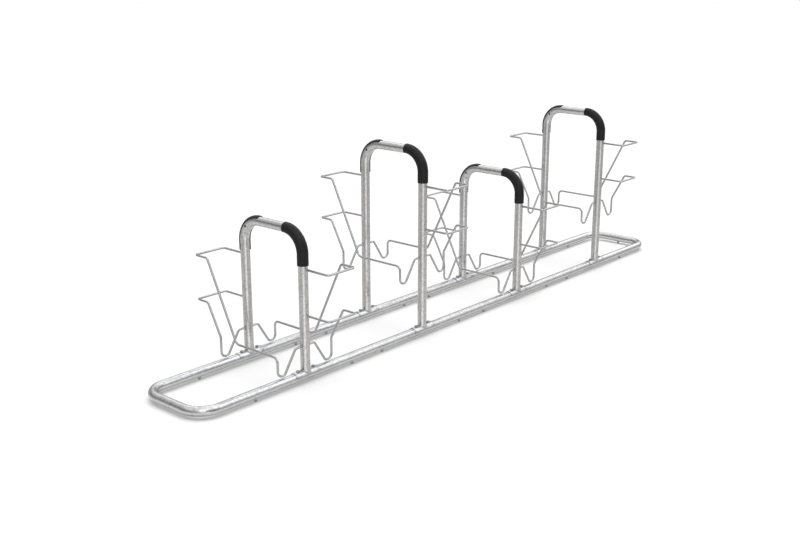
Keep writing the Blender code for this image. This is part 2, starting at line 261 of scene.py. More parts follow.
class RackStage(bpy.types.PropertyGroup):
    """Camera, floor and light."""

    camera_place: FloatVectorProperty(
        name="Camera place", description="Where the camera stands",
        default=(-4.7903, -3.8891, 2.0624), size=3, subtype="XYZ", unit="LENGTH",
    )
    camera_pitch: turn("Camera pitch", "How far the camera looks down", 16.313)
    camera_heading: turn("Camera heading", "Where the camera looks, from +X towards +Y", 41.449)
    lens: FloatProperty(
        name="Lens", description="Focal length", default=49.618, min=1, unit="CAMERA"
    )
    floor: colour("Floor", "Colour of the floor", (0.82, 0.82, 0.82))
    floor_reach: length("Floor reach", "From the rack's middle to the floor's edges", 30)
    floor_glow: factor("Floor glow", "Light that lifts the floor to white for the camera", 0.143)
    mirrored_glow: factor("Mirrored glow", "Share of the floor's glow that metal mirrors", 0.3)
    contact: length("Contact", "Up to how far away metal mirrors the floor in full", 0.06)
    contact_end: length("Contact end", "From how far away it no longer mirrors it", 0.24)
    fill: factor("Fill", "Strength of the light from all sides", 0.15, 4)
    overhead: factor("Overhead", "Strength of the wide lamp overhead", 2.85, 10)
    overhead_width: turn("Overhead width", "How wide the lamp overhead looks", 78)
    front: factor("Front", "Strength of the shadowless lamp at the front", 0.7, 10)


def add(tree, kind, sockets=(), **settings):
    """A node with its inputs, by name or number, set to values or linked to given outputs."""
    node = tree.nodes.new(kind)
    for key, value in settings.items():
        setattr(node, key, value)
    for key, value in dict(sockets).items():
        if isinstance(value, bpy.types.NodeSocket):
            tree.links.new(value, node.inputs[key])
        else:
            node.inputs[key].default_value = value
    return node


def maths(tree, operation, *values):
    return add(tree, "ShaderNodeMath", enumerate(values), operation=operation).outputs[0]


def vector_maths(tree, operation, sockets):
    return add(tree, "ShaderNodeVectorMath", sockets, operation=operation).outputs


def scaled(tree, vector, amount):
    return vector_maths(tree, "SCALE", {0: vector, "Scale": amount})[0]


def summed(tree, first, second):
    return vector_maths(tree, "ADD", {0: first, 1: second})[0]


def new_tree(name, *inputs):
    """A Geometry Nodes tree with the named inputs, given as (name, kind of socket, value)."""
    tree = bpy.data.node_groups.new(name, "GeometryNodeTree")
    tree.interface.new_socket("Geometry", in_out="OUTPUT", socket_type="NodeSocketGeometry")
    tree.interface.new_socket("Geometry", in_out="INPUT", socket_type="NodeSocketGeometry")
    for label, kind, value in inputs:
        kind = "NodeSocket" + kind
        socket = tree.interface.new_socket(label, in_out="INPUT", socket_type=kind)
        socket.default_value = value
    tree.interface.new_socket("Material", in_out="INPUT", socket_type="NodeSocketMaterial")
    return tree, tree.nodes.new("NodeGroupInput").outputs


def end_tree(tree, given, geometry):
    """Ends a tree in real geometry with the given material."""
    real = add(tree, "GeometryNodeRealizeInstances", {"Geometry": geometry}).outputs[0]
    paint = {"Geometry": real, "Material": given["Material"]}
    painted = add(tree, "GeometryNodeSetMaterial", paint).outputs[0]
    add(tree, "NodeGroupOutput", {0: painted})
    return tree


def attribute(tree, name, kind):
    """What the tree's mesh says under a name."""
    node = add(tree, "GeometryNodeInputNamedAttribute", {"Name": name}, data_type=kind)
    return node.outputs["Attribute"]


def circle(tree, points, radius):
    ring = {"Resolution": points, "Radius": radius}
    return add(tree, "GeometryNodeCurvePrimitiveCircle", ring).outputs[0]


def coordinates(tree):
    """X, Y and Z of the geometry's own points."""
    place = add(tree, "GeometryNodeInputPosition").outputs[0]
    return add(tree, "ShaderNodeSeparateXYZ", {0: place}).outputs


def placed(tree, geometry, x, y, z):
    """The geometry with its points put at the coordinates."""
    place = add(tree, "ShaderNodeCombineXYZ", {"X": x, "Y": y, "Z": z}).outputs[0]
    moved = {"Geometry": geometry, "Position": place}
    return add(tree, "GeometryNodeSetPosition", moved).outputs[0]


def raised(tree, geometry, height):
    up = add(tree, "ShaderNodeCombineXYZ", {"Z": height}).outputs[0]
    moved = {"Geometry": geometry, "Translation": up}
    return add(tree, "GeometryNodeTransform", moved).outputs[0]


def cylinder(tree, sides, radius, depth):
    rod = {"Vertices": sides, "Radius": radius, "Depth": depth}
    return add(tree, "GeometryNodeMeshCylinder", rod).outputs[0]


def combined(tree, operation, *solids):
    """The closed solids made one. Manifold also closes up where their faces share a plane."""
    node = add(tree, "GeometryNodeMeshBoolean", operation=operation, solver="MANIFOLD")
    for solid in solids:
        tree.links.new(solid, node.inputs["Mesh 2"])
    return node.outputs[0]


def on_points(tree, given, instance):
    """The instance at each of the tree's points, turned as the attribute facing says."""
    facing = attribute(tree, "facing", "FLOAT_VECTOR")
    rotation = add(tree, "FunctionNodeEulerToRotation", {"Euler": facing}).outputs[0]
    spread_out = {"Points": given["Geometry"], "Instance": instance, "Rotation": rotation}
    return add(tree, "GeometryNodeInstanceOnPoints", spread_out).outputs[0]


def swept_tree():
    """Round stock along a chain of edges, each corner rounded by the attribute bend."""
    tree, given = new_tree(
        "round_stock",
        ("Radius", "Float", 0.006),
        ("Sides", "Int", 16),
        ("Points in a bend", "Int", 8),
        ("Closed ends", "Bool", True),
    )
    path = add(tree, "GeometryNodeMeshToCurve", {"Mesh": given["Geometry"]}).outputs[0]
    bend = attribute(tree, "bend", "FLOAT")
    rounding = {"Curve": path, "Count": given["Points in a bend"], "Radius": bend}
    rounded = add(tree, "GeometryNodeFilletCurve", rounding, mode="POLY").outputs[0]
    profile = circle(tree, given["Sides"], given["Radius"])
    sweep = {"Curve": rounded, "Profile Curve": profile, "Fill Caps": given["Closed ends"]}
    return end_tree(tree, given, add(tree, "GeometryNodeCurveToMesh", sweep).outputs[0])


def bead_tree():
    """A bead of weld round stock along Z that meets a tube along Y squarely."""
    tree, given = new_tree(
        "weld_bead",
        ("Seam radius", "Float", 0.007),
        ("Tube radius", "Float", TUBE_RADIUS),
        ("Bead radius", "Float", 0.0024),
        ("Ripple", "Float", 0.0006),
        ("Ripple scale", "Float", 260.0),
        ("Seed", "Int", 7),
    )
    ring = circle(tree, points=56, radius=given["Seam radius"])
    x, y, _ = coordinates(tree)
    squared = maths(tree, "MULTIPLY", given["Tube radius"], given["Tube radius"])
    rise = maths(tree, "SUBTRACT", squared, maths(tree, "MULTIPLY", x, x))
    seam = placed(tree, ring, x, y, maths(tree, "SQRT", rise))
    profile = circle(tree, points=10, radius=given["Bead radius"])
    bead = add(tree, "GeometryNodeCurveToMesh", {"Curve": seam, "Profile Curve": profile})
    beads = on_points(tree, given, bead.outputs[0])
    beads = add(tree, "GeometryNodeRealizeInstances", {"Geometry": beads}).outputs[0]
    ripple = {"W": given["Seed"], "Scale": given["Ripple scale"], "Detail": 2.0}
    lumps = add(tree, "ShaderNodeTexNoise", ripple, noise_dimensions="4D").outputs["Fac"]
    height = maths(tree, "MULTIPLY", maths(tree, "SUBTRACT", lumps, 0.5), given["Ripple"])
    normal = add(tree, "GeometryNodeInputNormal").outputs[0]
    lumpy = {"Geometry": beads, "Offset": scaled(tree, normal, height)}
    return end_tree(tree, given, add(tree, "GeometryNodeSetPosition", lumpy).outputs[0])


def saddle_tree():
    """Half-round plates along X, each with its rail's axis through its point."""
    tree, given = new_tree(
        "saddle_plate",
        ("Length", "Float", 0.150),
        ("Radius", "Float", SADDLE_RADIUS),
    )
    flat = {"Size X": given["Length"], "Size Y": math.pi, "Vertices X": 7, "Vertices Y": 41}
    sheet = add(tree, "GeometryNodeMeshGrid", flat).outputs[0]
    x, angle, _ = coordinates(tree)
    y = maths(tree, "MULTIPLY", given["Radius"], maths(tree, "SINE", angle))
    z = maths(tree, "MULTIPLY", given["Radius"], maths(tree, "COSINE", angle))
    return end_tree(tree, given, on_points(tree, given, placed(tree, sheet, x, y, z)))


def bolt_tree():
    """Hexagon bolts, heads up, with the underside of each head at its point."""
    tree, given = new_tree(
        "hexagon_bolt",
        ("Corner radius", "Float", 0.0092),
        ("Face radius", "Float", 0.0076),
        ("Cone foot", "Float", 1.35),
        ("Head height", "Float", 0.0064),
        ("Shank radius", "Float", 0.005),
        ("Shank length", "Float", 0.025),
        ("Shank middle", "Float", -0.48),
    )
    height, reach = given["Head height"], given["Corner radius"]
    half = maths(tree, "MULTIPLY", height, 0.5)
    turned = {
        "Vertices": 64,
        "Depth": height,
        "Radius Top": given["Face radius"],
        "Radius Bottom": maths(tree, "MULTIPLY", reach, given["Cone foot"]),
    }
    cone = add(tree, "GeometryNodeMeshCone", turned).outputs[0]
    cone = raised(tree, cone, maths(tree, "MULTIPLY", half, -1.0))
    block = cylinder(tree, sides=6, radius=reach, depth=height)
    head = raised(tree, combined(tree, "INTERSECT", block, cone), half)
    shank = cylinder(tree, sides=24, radius=given["Shank radius"], depth=given["Shank length"])
    middle = maths(tree, "MULTIPLY", given["Shank length"], given["Shank middle"])
    bolt = combined(tree, "UNION", raised(tree, shank, middle), head)
    return end_tree(tree, given, on_points(tree, given, bolt))


def stud_tree():
    """Round studs that stand on their points."""
    tree, given = new_tree("stud", ("Radius", "Float", 0.0075), ("Height", "Float", 0.012))
    rod = cylinder(tree, sides=32, radius=given["Radius"], depth=given["Height"])
    stud = raised(tree, rod, maths(tree, "MULTIPLY", given["Height"], 0.5))
    return end_tree(tree, given, on_points(tree, given, stud))


def path_mesh(name, corners, radii):
    """A chain of edges through the corners, with the radius of each one's bend."""
    mesh = bpy.data.meshes.new(name)
    mesh.from_pydata(corners, [(n, n + 1) for n in range(len(corners) - 1)], [])
    bend = mesh.attributes.new("bend", "FLOAT", "POINT")
    bend.data.foreach_set("value", [0.0, *radii, 0.0])
    return mesh


def point_mesh(name, places):
    """Points with the turn of what stands on each, given as (point, matrix)."""
    mesh = bpy.data.meshes.new(name)
    mesh.from_pydata([place for place, _ in places], [], [])
    angles = [angle for _, matrix in places for angle in matrix.to_euler()]
    mesh.attributes.new("facing", "FLOAT_VECTOR", "POINT").data.foreach_set("vector", angles)
    return mesh


def new_object(name, data):
    obj = bpy.data.objects.new(name, data)
    bpy.context.scene.collection.objects.link(obj)
    return obj


def from_bmesh(name, work, material):
    """An object with the mesh that was worked on, which is freed."""
    mesh = bpy.data.meshes.new(name)
    work.to_mesh(mesh)
    work.free()
    mesh.materials.append(material)
    return new_object(name, mesh)


def grown(name, mesh, tree, **values):
    """An object on which a tree works, with the tree's inputs set by name."""
    obj = new_object(name, mesh)
    modifier = obj.modifiers.new("nodes", "NODES")
    modifier.node_group = tree
    for socket in tree.interface.items_tree:
        key = socket.name.lower().replace(" ", "_")
        if key in values:
            modifier[socket.identifier] = values[key]
    return obj


def bake(obj, sharp=35):
    """Makes the evaluated shape the object's plain mesh, smooth up to the given angle."""
    graph = bpy.context.evaluated_depsgraph_get()
    mesh = bpy.data.meshes.new_from_object(obj.evaluated_get(graph))
    if not mesh.polygons:
        raise RuntimeError(f"{obj.name} came out empty")
    mesh.name = obj.name
    obj.modifiers.clear()
    obj.data = mesh
    mesh.shade_smooth()
    mesh.set_sharp_from_angle(angle=math.radians(sharp))
    return obj


def thicken(obj, wall):
    solidify = obj.modifiers.new("wall", "SOLIDIFY")
    solidify.thickness = wall
    solidify.offset = -1
    solidify.use_even_offset = True


def round_edges(obj, width, segments=2, limit=50):
    bevel = obj.modifiers.new("edges", "BEVEL")
    bevel.width = width
    bevel.segments = segments
    bevel.limit_method = "ANGLE"
    bevel.angle_limit = math.radians(limit)
    bevel.harden_normals = False


def present(obj, slot, *nodes):
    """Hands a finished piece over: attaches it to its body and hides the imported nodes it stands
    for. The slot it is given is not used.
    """
    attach(obj, BODY)
    if nodes:
        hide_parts(*nodes)


def ramp(tree, value, stops):
    """A colour ramp with the colours at its stops."""
    node = add(tree, "ShaderNodeValToRGB", {0: value})
    elements = node.color_ramp.elements
    while len(elements) < len(stops):
        elements.new(1.0)
    for element, (place, tone) in zip(elements, stops):
        element.position = place
        element.color = (*tone, 1.0)
    return node.outputs[0]


def spread(tree, value, low, high):
    """Maps a value from 0 to 1 onto a range."""
    limits = {"Value": value, "To Min": low, "To Max": high}
    return add(tree, "ShaderNodeMapRange", limits).outputs[0]


def eased(tree, value, start, end):
    """Rises softly from 0 to 1 as the value goes from start to end."""
    limits = {"Value": value, "From Min": start, "From Max": end}
    return add(tree, "ShaderNodeMapRange", limits, interpolation_type="SMOOTHSTEP").outputs[0]


def noise(tree, place, scale, detail):
    sockets = {"Vector": place, "Scale": scale, "Detail": detail}
    return add(tree, "ShaderNodeTexNoise", sockets).outputs


def crystals(tree, place, scale):
    """One tone for each crystal."""
    cells = add(tree, "ShaderNodeTexVoronoi", {"Vector": place, "Scale": scale}).outputs["Color"]
    return add(tree, "ShaderNodeSeparateColor", {0: cells}).outputs[0]


def bumpy(tree, shader, height, strength, distance):
    """Gives a shader relief of the given height."""
    relief = {"Height": height, "Strength": strength, "Distance": distance}
    bump = add(tree, "ShaderNodeBump", relief).outputs[0]
    tree.links.new(bump, shader.inputs["Normal"])


def new_material(name):
    material = bpy.data.materials.new(name)
    material.use_nodes = True
    return material, material.node_tree, material.node_tree.nodes["Principled BSDF"]


def zinc(piece, finish):
    """Hot-dip zinc: crystals of unlike brightness, cloudy patina, and a fine grain."""
    tint, width, rougher = ZINC_COATS_AND_SHADE[piece]
    material, tree, shader = new_material("zinc_" + piece)
    place = add(tree, "ShaderNodeTexCoord").outputs["Object"]
    jitter = scaled(tree, noise(tree, place, scale=60.0, detail=2.0)["Color"], RAGGED_EDGE)
    ragged = summed(tree, place, jitter)
    density = 1 / (finish.crystal_size * width)
    small = maths(tree, "MULTIPLY", crystals(tree, ragged, density * FINER), SMALL_SHARE)
    tone = maths(tree, "MULTIPLY_ADD", crystals(tree, ragged, density), LARGE_SHARE, small)
    cloud = noise(tree, place, scale=9.0, detail=4.0)["Fac"]
    cloud = spread(tree, cloud, low=-0.3, high=1.3)
    tone = maths(tree, "MULTIPLY_ADD", cloud, CLOUD_SHARE, tone)
    # The piece's tint darkens both tones; for feet, bolts and welds it is partly painted shade
    light = tuple(tint * value for value in finish.zinc_light)
    dark = tuple(tint * value for value in finish.zinc_dark)
    tree.links.new(ramp(tree, tone, [(0.1, dark), (0.9, light)]), shader.inputs["Base Color"])
    middle = finish.zinc_roughness + rougher
    roughness = spread(tree, tone, middle + ZINC_STRAY, middle - ZINC_STRAY)
    tree.links.new(roughness, shader.inputs["Roughness"])
    shader.inputs["Metallic"].default_value = finish.zinc_metal
    grain = noise(tree, place, scale=420.0, detail=3.0)["Fac"]
    waves = noise(tree, place, scale=110.0, detail=1.0)["Fac"]
    relief = maths(tree, "MULTIPLY_ADD", grain, GRAIN_SHARE, waves)
    bumpy(tree, shader, relief, strength=0.5, distance=ZINC_RELIEF)
    return material


def plastic(name, finish, gloss):
    """Moulded black plastic with a fine grain and slightly polished patches."""
    material, tree, shader = new_material(name)
    place = add(tree, "ShaderNodeTexCoord").outputs["Object"]
    patches = noise(tree, place, scale=35.0, detail=4.0)["Fac"]
    deep = tuple(DEEP_SHARE * value for value in finish.plastic)
    base = ramp(tree, patches, [(0.3, deep), (0.75, tuple(finish.plastic))])
    tree.links.new(base, shader.inputs["Base Color"])
    middle = finish.plastic_roughness
    roughness = spread(tree, patches, middle - PLASTIC_STRAY, middle + PLASTIC_STRAY)
    tree.links.new(roughness, shader.inputs["Roughness"])
    shader.inputs["Specular IOR Level"].default_value = gloss
    grain = add(tree, "ShaderNodeTexVoronoi", {"Vector": place, "Scale": 1500.0})
    bumpy(tree, shader, grain.outputs["Distance"], strength=0.1, distance=PLASTIC_RELIEF)
    return material


class AddFloorLoop(bpy.types.Operator):
    """Sweeps the two U-shaped ends and the two rails, and sets the feet under them"""

    bl_idname = "bicycle_rack.add_floor_loop"
    bl_label = "Floor loop"

    def execute(self, context):
        sizes = context.scene.rack_sizes
        material = zinc("rails", context.scene.rack_finish)
        tree = swept_tree()
        gap = sizes.joint_gap / 2
        runs = []
        for end, k, outward in (("near", 0, -1), ("far", HOOP_COUNT - 1, 1)):
            start, stop = HOOP_X[k] + outward * gap, outward * END_X
            corners = [(start, -RAIL_Y), (stop, -RAIL_Y), (stop, RAIL_Y), (start, RAIL_Y)]
            runs.append((f"{end}_end_tube", corners, f"base_{end}_end"))
        for side, sign in SIDES:
            corners = [(HOOP_X[0] + gap, sign * RAIL_Y), (HOOP_X[-1] - gap, sign * RAIL_Y)]
            runs.append((f"{side}_rail_tube", corners, f"base_{side}_rail"))
        for name, corners, node in runs:
            radii = [sizes.bend_radius] * (len(corners) - 2)
            mesh = path_mesh(name, [(x, y, RAIL_Z) for x, y in corners], radii)
            obj = grown(name, mesh, tree, radius=TUBE_RADIUS, material=material, **TUBE_MESH)
            thicken(obj, sizes.tube_wall)
            present(bake(obj), "rails", node)
        # The feet's darker zinc is painted shade from the rail above them
        self.add_feet(sizes, zinc("feet", context.scene.rack_finish))
        return {"FINISHED"}

    def add_feet(self, sizes, material):
        feet = [
            (Vector((x + towards * sizes.foot_offset, sign * RAIL_Y, 0)), UPRIGHT)
            for x in HOOP_X for towards in (-1, 1) for _, sign in SIDES
        ]
        feet.append((Vector((END_X, 0, 0)), UPRIGHT))
        obj = grown(
            "rail_feet", point_mesh("rail_feet", feet), stud_tree(), radius=sizes.foot_radius,
            height=RAIL_Z - TUBE_RADIUS + sizes.tube_wall, material=material,
        )
        round_edges(obj, sizes.foot_edge)
        present(bake(obj), "rails")


class AddSleeves(bpy.types.Operator):
    """Gives the sleeves inside the floor loop's joints their finish"""

    bl_idname = "bicycle_rack.finish_sleeves"
    bl_label = "Joint sleeves"

    def execute(self, context):
        material = zinc("sleeves", context.scene.rack_finish)
        for name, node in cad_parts.items():
            if name.startswith("joint_sleeve_"):
                node.material_slots[0].material = material
        return {"FINISHED"}


class AddHoops(bpy.types.Operator):
    """Sweeps the hoops, with both legs hollowed to sit on their saddles"""

    bl_idname = "bicycle_rack.add_hoops"
    bl_label = "Hoops"

    def execute(self, context):
        sizes = context.scene.rack_sizes
        material = zinc("hoops", context.scene.rack_finish)
        tree = swept_tree()
        for k, (x, top) in enumerate(zip(HOOP_X, HOOP_TOP)):
            name = f"hoop_tube_{k + 1}"
            corners = [(-RAIL_Y, RAIL_Z), (-RAIL_Y, top), (RAIL_Y, top), (RAIL_Y, RAIL_Z)]
            path = [(x, y, z) for y, z in corners]
            mesh = path_mesh(name, path, [sizes.bend_radius] * 2)
            obj = grown(name, mesh, tree, radius=TUBE_RADIUS, material=material, **TUBE_MESH)
            bake(obj)
            for vertex in obj.data.vertices:
                if vertex.co.z < RAIL_Z + TUBE_RADIUS:
                    across = abs(vertex.co.y) - RAIL_Y
                    vertex.co.z = RAIL_Z + math.sqrt(SADDLE_RADIUS ** 2 - across ** 2)
            thicken(obj, sizes.tube_wall)
            present(bake(obj), "hoops", f"hoop_{k + 1}")
        return {"FINISHED"}


class AddSaddles(bpy.types.Operator):
    """Sets a half-round plate over the rail under each leg"""

    bl_idname = "bicycle_rack.add_saddles"
    bl_label = "Saddles"

    def execute(self, context):
        sizes = context.scene.rack_sizes
        material = zinc("saddles", context.scene.rack_finish)
        tree = saddle_tree()
        plate_length = SADDLE_HIGH.x - SADDLE_LOW.x
        for side, sign in SIDES:
            for k, x in enumerate(HOOP_X):
                name = f"saddle_plate_{side}_{k + 1}"
                mesh = point_mesh(name, [(Vector((x, sign * RAIL_Y, RAIL_Z)), UPRIGHT)])
                obj = grown(
                    name, mesh, tree, length=plate_length, radius=SADDLE_RADIUS, material=material
                )
                thicken(obj, sizes.saddle_wall)
                round_edges(obj, sizes.saddle_edge)
                present(bake(obj), "saddles", f"saddle_{side}_{k + 1}")
        return {"FINISHED"}


class AddBolts(bpy.types.Operator):
    """Sets two hexagon bolts at each leg"""

    bl_idname = "bicycle_rack.add_bolts"
    bl_label = "Bolts"

    def execute(self, context):
        sizes = context.scene.rack_sizes
        # The bolts' darker zinc is partly duller zinc and partly painted shade
        material = zinc("bolts", context.scene.rack_finish)
        tree = bolt_tree()
        draws = random.Random(sizes.seed)
        underside = BOLT_HIGH.z - sizes.head_height
        for k, x in enumerate(HOOP_X):
            places = []
            nodes = []
            for side, sign in SIDES:
                for end, towards in (("near", -1), ("far", 1)):
                    turned = Matrix.Rotation(draws.uniform(0, math.pi / 3), 3, "Z")
                    spot = Vector((x + towards * sizes.bolt_offset, sign * RAIL_Y, underside))
                    places.append((spot, turned))
                    nodes.append(f"saddle_bolt_{side}_{k + 1}_{end}")
            name = f"hexagon_bolts_{k + 1}"
            obj = grown(
                name,
                point_mesh(name, places),
                tree,
                corner_radius=sizes.head_across_flats / math.sqrt(3),
                face_radius=sizes.head_face,
                head_height=sizes.head_height,
                shank_radius=sizes.bolt_radius,
                shank_length=underside - BOLT_LOW.z,
                material=material,
            )
            present(bake(obj, sharp=25), "bolts", *nodes)
        return {"FINISHED"}


def guard_rows(sizes, x, sign, top):
    """Rows of points across a guard's outer side, from its end on the leg to the other."""
    bend = sizes.bend_radius
    arc = bend * math.pi / 2
    first, last = -sizes.guard_on_leg, arc + sizes.guard_on_bar
    corner = sizes.guard_corner
    rounding = [
        corner * (1 - math.cos(math.pi / 2 * n / GUARD_CORNER_STEPS))
        for n in range(GUARD_CORNER_STEPS + 1)
    ]
    between = [
        first + corner + (last - first - 2 * corner) * n / GUARD_STEPS
        for n in range(1, GUARD_STEPS)
    ]
    places = [first + way for way in rounding] + between
    places += [last - way for way in reversed(rounding)]
    rows = []
    for way in places:
        short = max(corner - min(way - first, last - way), 0)
        trim = corner - math.sqrt(corner ** 2 - short ** 2)
        reach = sizes.guard_wrap / 2 - trim / sizes.guard_radius
        angle = min(max(way / bend, 0), math.pi / 2)
        outward = Vector((0, sign * math.cos(angle), math.sin(angle)))
        sideways = Vector((sign, 0, 0))
        centre = Vector((x, sign * (RAIL_Y - bend), top - bend)) + outward * bend
        centre.z += min(way, 0)
        centre.y -= sign * max(way - arc, 0)
        row = []
        for n in range(GUARD_COLUMNS + 1):
            turned = sizes.guard_turn + reach * (2 * n / GUARD_COLUMNS - 1)
            towards = outward * math.cos(turned) + sideways * math.sin(turned)
            row.append(centre + sizes.guard_radius * towards)
        rows.append(row)
    return rows


class AddGuards(bpy.types.Operator):
    """Makes the black shells over the hoops' bends"""

    bl_idname = "bicycle_rack.add_guards"
    bl_label = "Guards"

    def execute(self, context):
        sizes = context.scene.rack_sizes
        finish = context.scene.rack_finish
        material = plastic("black_guards", finish, finish.guard_gloss)
        for side, sign in SIDES:
            for k, (x, top) in enumerate(zip(HOOP_X, HOOP_TOP)):
                work = bmesh.new()
                points = guard_rows(sizes, x, sign, top)
                rows = [[work.verts.new(point) for point in row] for row in points]
                for row, above in zip(rows, rows[1:]):
                    for n in range(GUARD_COLUMNS):
                        work.faces.new((row[n], above[n], above[n + 1], row[n + 1]))
                work.normal_update()
                obj = from_bmesh(f"guard_shell_{side}_{k + 1}", work, material)
                thicken(obj, sizes.guard_wall)
                round_edges(obj, sizes.guard_edge, segments=3)
                present(bake(obj, sharp=60), "guards", f"guard_{side}_{k + 1}")
        return {"FINISHED"}


class AddPlugs(bpy.types.Operator):
    """Closes the vent hole in the side of each bend with a domed plug"""

    bl_idname = "bicycle_rack.add_plugs"
    bl_label = "Vent plugs"

    def execute(self, context):
        sizes = context.scene.rack_sizes
        finish = context.scene.rack_finish
        material = plastic("black_plugs", finish, finish.plug_gloss)
        reach = (sizes.bend_radius - sizes.plug_inset) * math.cos(math.pi / 4)
        for k, (x, top) in enumerate(zip(HOOP_X, HOOP_TOP)):
            work = bmesh.new()
            for _, sign in SIDES:
                spot = Vector((
                    x - sign * TUBE_RADIUS,
                    sign * (RAIL_Y - sizes.bend_radius + reach),
                    top - sizes.bend_radius + reach,
                ))
                facing = Matrix.Rotation(-sign * math.pi / 2, 4, "Y")
                self.add_plug(work, sizes.plug_radius, Matrix.Translation(spot) @ facing)
            present(bake(from_bmesh(f"vent_plugs_{k + 1}", work, material)), "guards")
        return {"FINISHED"}

    def add_plug(self, work, radius, place):
        """Rings of points round a plug's axis, from its dome down, with one point at each end."""
        rings = []
        for across, up in PLUG_OUTLINE:
            angles = [2 * math.pi * n / PLUG_SIDES for n in range(PLUG_SIDES if across else 1)]
            ring = [(across * math.cos(angle), across * math.sin(angle), up) for angle in angles]
            rings.append([work.verts.new(place @ (radius * Vector(point))) for point in ring])
        for ring, lower in zip(rings, rings[1:]):
            for n in range(PLUG_SIDES):
                corners = [ring[n % len(ring)], lower[n % len(lower)]]
                corners += [lower[(n + 1) % len(lower)], ring[(n + 1) % len(ring)]]
                work.faces.new(dict.fromkeys(corners))


def long_holder(sizes):
    """Corners and bend radii of the long bar, for the bay on the -X side of a low hoop."""
    corners = [
        (0, RAIL_Y + TUBE_RADIUS - sizes.end_depth, sizes.long_height),
        (0, sizes.loop_reach, sizes.long_height),
        (-sizes.side_x, sizes.loop_reach, sizes.long_height),
        (-sizes.side_x, sizes.long_kink, sizes.long_height),
        (-sizes.side_x, sizes.long_low, sizes.long_low_height),
        (-sizes.side_x, -RAIL_Y, sizes.long_low_height),
        (-sizes.side_x, -RAIL_Y, sizes.dip_height),
        (-sizes.dip_x, -RAIL_Y, sizes.dip_height),
        (-sizes.shoulder_x, -RAIL_Y, sizes.shoulder_height),
        (-TUBE_RADIUS + sizes.end_depth, -RAIL_Y, sizes.shoulder_height),
    ]
    radii = [sizes.loop_bend] * 3 + [sizes.kink_bend] + [sizes.dip_bend] * 2
    return corners, radii + [sizes.shoulder_bend] * 2


def short_holder(sizes):
    """Corners and bend radii of the short bar, for the same bay."""
    corners = [
        (0, RAIL_Y + TUBE_RADIUS - sizes.end_depth, sizes.short_height),
        (0, sizes.loop_reach, sizes.short_height),
        (-sizes.side_x, sizes.loop_reach, sizes.short_height),
        (-sizes.side_x, sizes.short_kink, sizes.short_height),
        (-sizes.side_x, RAIL_Y, sizes.short_low_height),
        (-sizes.side_x, RAIL_Y, sizes.dip_height),
        (-sizes.dip_x, RAIL_Y, sizes.dip_height),
        (-sizes.shoulder_x, RAIL_Y, sizes.shoulder_height),
        (-TUBE_RADIUS + sizes.end_depth, RAIL_Y, sizes.shoulder_height),
    ]
    radii = [sizes.loop_bend] * 3 + [sizes.kink_bend, sizes.dip_bend]
    return corners, radii + [sizes.shoulder_bend] * 2


class AddHolders(bpy.types.Operator):
    """Sweeps the bent bars that hold the wheels, two for each bay"""

    bl_idname = "bicycle_rack.add_holders"
    bl_label = "Wheel holders"

    def execute(self, context):
        sizes = context.scene.holder_sizes
        material = zinc("holders", context.scene.rack_finish)
        tree = swept_tree()
        for kind, shape in (("long", long_holder), ("short", short_holder)):
            corners, radii = shape(sizes)
            for side, towards in (("front", 1), ("back", -1)):
                for k, (x, top) in enumerate(zip(HOOP_X, HOOP_TOP)):
                    lift = top - HOOP_TOP[0]
                    name = f"{kind}_bar_{side}_{k + 1}"
                    path = [(x + towards * a, towards * b, c + lift) for a, b, c in corners]
                    obj = grown(
                        name, path_mesh(name, path, radii), tree,
                        radius=sizes.bar_radius, material=material, **BAR_MESH,
                    )
                    present(bake(obj), "holders", f"holder_{kind}_{side}_{k + 1}")
        return {"FINISHED"}


def seam_place(spot, along, axis):
    """A point and the turn that puts a bead's Z along the stock and its Y along the tube."""
    return Vector(spot), Matrix((axis.cross(along), axis, along)).transposed()


class AddWelds(bpy.types.Operator):
    """Lays a bead of weld where each bar and each leg ends"""

    bl_idname = "bicycle_rack.add_welds"
    bl_label = "Welds"

    def execute(self, context):
        sizes = context.scene.rack_sizes
        holders = context.scene.holder_sizes
        # The welds' darker zinc is partly duller weld metal and partly painted shade at the
        # joints
        material = zinc("welds", context.scene.rack_finish)
        tree = bead_tree()
        up, lengthwise = Vector((0, 0, 1)), Vector((1, 0, 0))
        for k, (x, top) in enumerate(zip(HOOP_X, HOOP_TOP)):
            lift = top - HOOP_TOP[0]
            bars = []
            legs = []
            for _, sign in SIDES:
                y = sign * RAIL_Y
                for height in (holders.long_height, holders.short_height):
                    bars.append(seam_place((x, y, height + lift), Vector((0, sign, 0)), up))
                for towards in (-1, 1):
                    spot = (x, y, holders.shoulder_height + lift)
                    bars.append(seam_place(spot, Vector((towards, 0, 0)), up))
                legs.append(seam_place((x, y, RAIL_Z), up, lengthwise))
            bar_seam = holders.bar_radius + sizes.bar_seam
            leg_seam = TUBE_RADIUS + sizes.leg_seam
            for kind, places, seam, tube, bead in (
                ("bar", bars, bar_seam, TUBE_RADIUS, sizes.bar_bead),
                ("leg", legs, leg_seam, SADDLE_RADIUS, sizes.leg_bead),
            ):
                name = f"{kind}_welds_{k + 1}"
                obj = grown(
                    name, point_mesh(name, places), tree, seam_radius=seam, tube_radius=tube,
                    bead_radius=bead, seed=sizes.seed, material=material,
                )
                present(bake(obj, sharp=60), "hoops")
        return {"FINISHED"}


def seen_rays(tree):
    """Light Path's outputs, and 1 for what the camera sees straight or through glass."""
    rays = add(tree, "ShaderNodeLightPath").outputs
    return rays, maths(tree, "MAXIMUM", rays["Is Camera Ray"], rays["Is Transmission Ray"])


def background(tree, tone, strength):
    return add(tree, "ShaderNodeBackground", {"Color": tone, "Strength": strength}).outputs[0]


def mixed(tree, share, first, second):
    return add(tree, "ShaderNodeMixShader", {0: share, 1: first, 2: second}).outputs[0]


